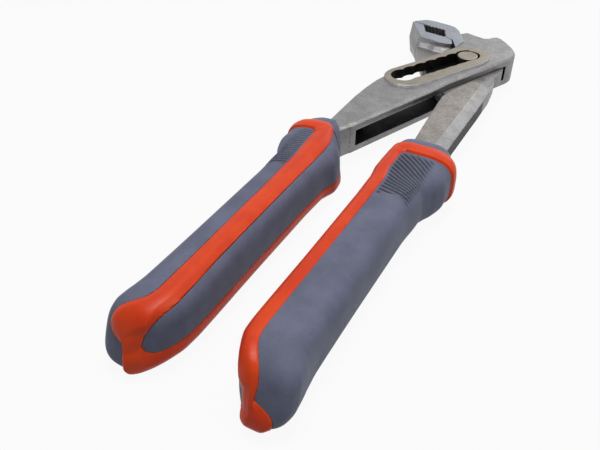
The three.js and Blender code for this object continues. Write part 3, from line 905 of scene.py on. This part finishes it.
def lay_cover(made, kind, way):
    """Moves each point of a grid on to its cover, closer together at both ends."""
    cover = COVERS[kind]
    # The groove attribute tells the rubber where to darken its colour as painted shade.
    grooves = made.data.attributes.new("groove", "FLOAT", "POINT")
    for i, point in enumerate(made.data.vertices):
        u, v = point.co.x + 0.5, point.co.y + 0.5
        v = (1 - ROW_CROWDING) * v + ROW_CROWDING * ease(v, 0, 1)
        along = round(cover["front"] + v * (cover["back"] - cover["front"]), PLACE_DIGITS)
        first, last = cover_edges(kind, along)
        angle = angle_of(first + u * (last - first))
        rise, grooves.data[i].value = cover_rise(kind, along, angle)
        point.co = grip_point(along, angle, rise, way)
    made.data.update()


print("cover helpers:", [helper.__name__ for helper in (cover_rise, cover_grid, lay_cover)])

# %% [markdown]
# ## The rubber covers
# The rubber is moulded on to the core as a skin of even thickness with rounded rims. Solidify
# gives each laid grid its thickness, inwards from the surface, and a bevel rounds its rim.

# %% Model the covers
COVER_DEPTH = 1.8
COVER_ROUND = 0.45
COVER_SMOOTH = 60
COVER_GRIDS = {"wrap": (84, 300), "pad": (28, 120)}


def finish_with(made, kind, **settings):
    """Adds a modifier with its settings and applies it."""
    modifier = made.modifiers.new(kind, kind)
    for name, value in settings.items():
        setattr(modifier, name, value)
    bpy.context.view_layer.objects.active = made
    made.select_set(True)
    bpy.ops.object.modifier_apply(modifier=modifier.name)


for side, way in GRIPS.items():
    for kind, (columns, rows) in COVER_GRIDS.items():
        cover = cover_grid(f"{side}_grip_{kind}_moulded", columns, rows)
        lay_cover(cover, kind, way)
        turn_outwards(cover)
        middle = cover.data.polygons[len(cover.data.polygons) // 2]
        axis = Vector((way["centre"], middle.center.y / MM, MIDDLE))
        outwards = (middle.center / MM - axis).dot(middle.normal)
        finish_with(cover, "SOLIDIFY", thickness=COVER_DEPTH * MM, offset=-1 if outwards > 0 else 1)
        finish_with(
            cover,
            "BEVEL",
            width=COVER_ROUND * MM,
            segments=3,
            limit_method="ANGLE",
            angle_limit=math.radians(COVER_SMOOTH),
        )
        node = f"{side}_grip_{kind}"
        settle(cover, GRIP_RUBBER, way["body"], [node], "grey_rubber", COVER_SMOOTH)

# %% [markdown]
# ## The collars
# Where the steel enters the grip, a short rubber collar closes the moulding. It is a cylinder
# of rings again, whose front edge is rounded over. Its back reaches a little under the core's
# rounded front edge, so that no gap shows.

# %% Model the collars
COLLAR_LIP = 1.3
COLLAR_SINK = 0.1
COLLAR_LAP = 0.01
COLLAR_CUTS = (15,)
COLLAR_SMOOTH = 50


def collar_rise(along, angle):
    """Rounds the collar's front edge over."""
    t = min(along * GRIP_LENGTH / COLLAR_LIP, 1)
    return -COLLAR_LIP * (1 - math.sqrt(1 - (1 - t) ** 2)) - COLLAR_SINK


for side, way in GRIPS.items():
    collar = cylinder_rings(f"{side}_grip_collar_moulded", COLLAR_CUTS)
    wrap_round(collar, 0, CORE_START + COLLAR_LAP, way, collar_rise)
    settle(collar, GRIP_RUBBER, way["body"], [f"{side}_grip_collar"], "grey_rubber", COLLAR_SMOOTH)

# %% [markdown]
# ## The white sheet
# The pliers lie on a seamless white sheet. To the eye and in the steel's reflections it glows
# evenly white, as an overlit sheet does in a picture, with a little of the matt paper left so
# that the pliers cast a faint shadow. As a source of light it is plain matt paper, so it
# doesn't flood the pliers from below.

# %% The white sheet
FLOOR_SIZE = 6
PAPER_GLOW = 0.93

low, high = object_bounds()
bpy.ops.object.select_all(action="DESELECT")
bpy.ops.mesh.primitive_plane_add(size=FLOOR_SIZE, location=(0, 0, low.z))
floor = bpy.context.object
floor.name = "floor"


def shown_rays(tree):
    """1 for light seen by the camera, in a mirror or through glass, and 0 for the rest."""
    rays = add(tree, "ShaderNodeLightPath").outputs
    shown = rays["Is Camera Ray"]
    for kind in ("Is Glossy Ray", "Is Transmission Ray"):
        either = add(tree, "ShaderNodeMath", {0: shown, 1: rays[kind]}, operation="MAXIMUM")
        shown = either.outputs[0]
    return shown


paper = bpy.data.materials.new("white_paper")
paper.use_nodes = True
tree = paper.node_tree
tree.nodes.clear()
shown = shown_rays(tree)
matt = add(tree, "ShaderNodeBsdfDiffuse", {"Color": linear("b4b4b4")}).outputs[0]
glow = add(tree, "ShaderNodeEmission", {"Color": (1, 1, 1, 1), "Strength": 1}).outputs[0]
share = add(tree, "ShaderNodeMath", {0: shown, 1: PAPER_GLOW}, operation="MULTIPLY").outputs[0]
lit = add(tree, "ShaderNodeMixShader", {0: share, 1: matt, 2: glow}).outputs[0]
add(tree, "ShaderNodeOutputMaterial", {"Surface": lit})
floor.data.materials.append(paper)
print("sheet under the pliers at", round(low.z / MM, 2), "mm")

# %% [markdown]
# ## Sky and lamps
# The sky is white where it is seen, and gives only a fifth of that as light, so that the lamps
# can model the form. The strongest lamp hangs over the pliers. A small one on the right draws
# highlights along the edges that face it, and a large, weak one stands beyond the jaws.

# %% Sky and lamps
SKY_LIGHT = 0.2
SKY_SEEN = 1.0
LAMP_AIM = Vector((0, -0.09, 0))
LAMPS = {
    "key": {"place": (-0.04, -0.08, 0.68), "power": 3.5, "size": 0.26},
    "edge": {"place": (0.5, 0.0, 0.45), "power": 0.9, "size": 0.1},
    "back": {"place": (0.1, 0.6, 0.4), "power": 0.8, "size": 0.4},
}

world = bpy.data.worlds.new("studio")
bpy.context.scene.world = world
world.use_nodes = True
tree = world.node_tree
tree.nodes.clear()
levels = {"Value": shown_rays(tree), "To Min": SKY_LIGHT, "To Max": SKY_SEEN}
strength = add(tree, "ShaderNodeMapRange", levels).outputs[0]
sky = add(tree, "ShaderNodeBackground", {"Color": (1, 1, 1, 1), "Strength": strength})
add(tree, "ShaderNodeOutputWorld", {"Surface": sky.outputs[0]})

for name, lamp in LAMPS.items():
    bpy.ops.object.light_add(type="AREA", location=lamp["place"])
    light = bpy.context.object
    light.name = name
    light.data.energy = lamp["power"]
    light.data.size = lamp["size"]
    aim = LAMP_AIM - light.location
    light.rotation_euler = aim.to_track_quat("-Z", "Y").to_euler()
    print(name, "lamp:", lamp["power"], "W from", round(aim.length, 2), "m")

bpy.context.scene.view_settings.view_transform = "Standard"
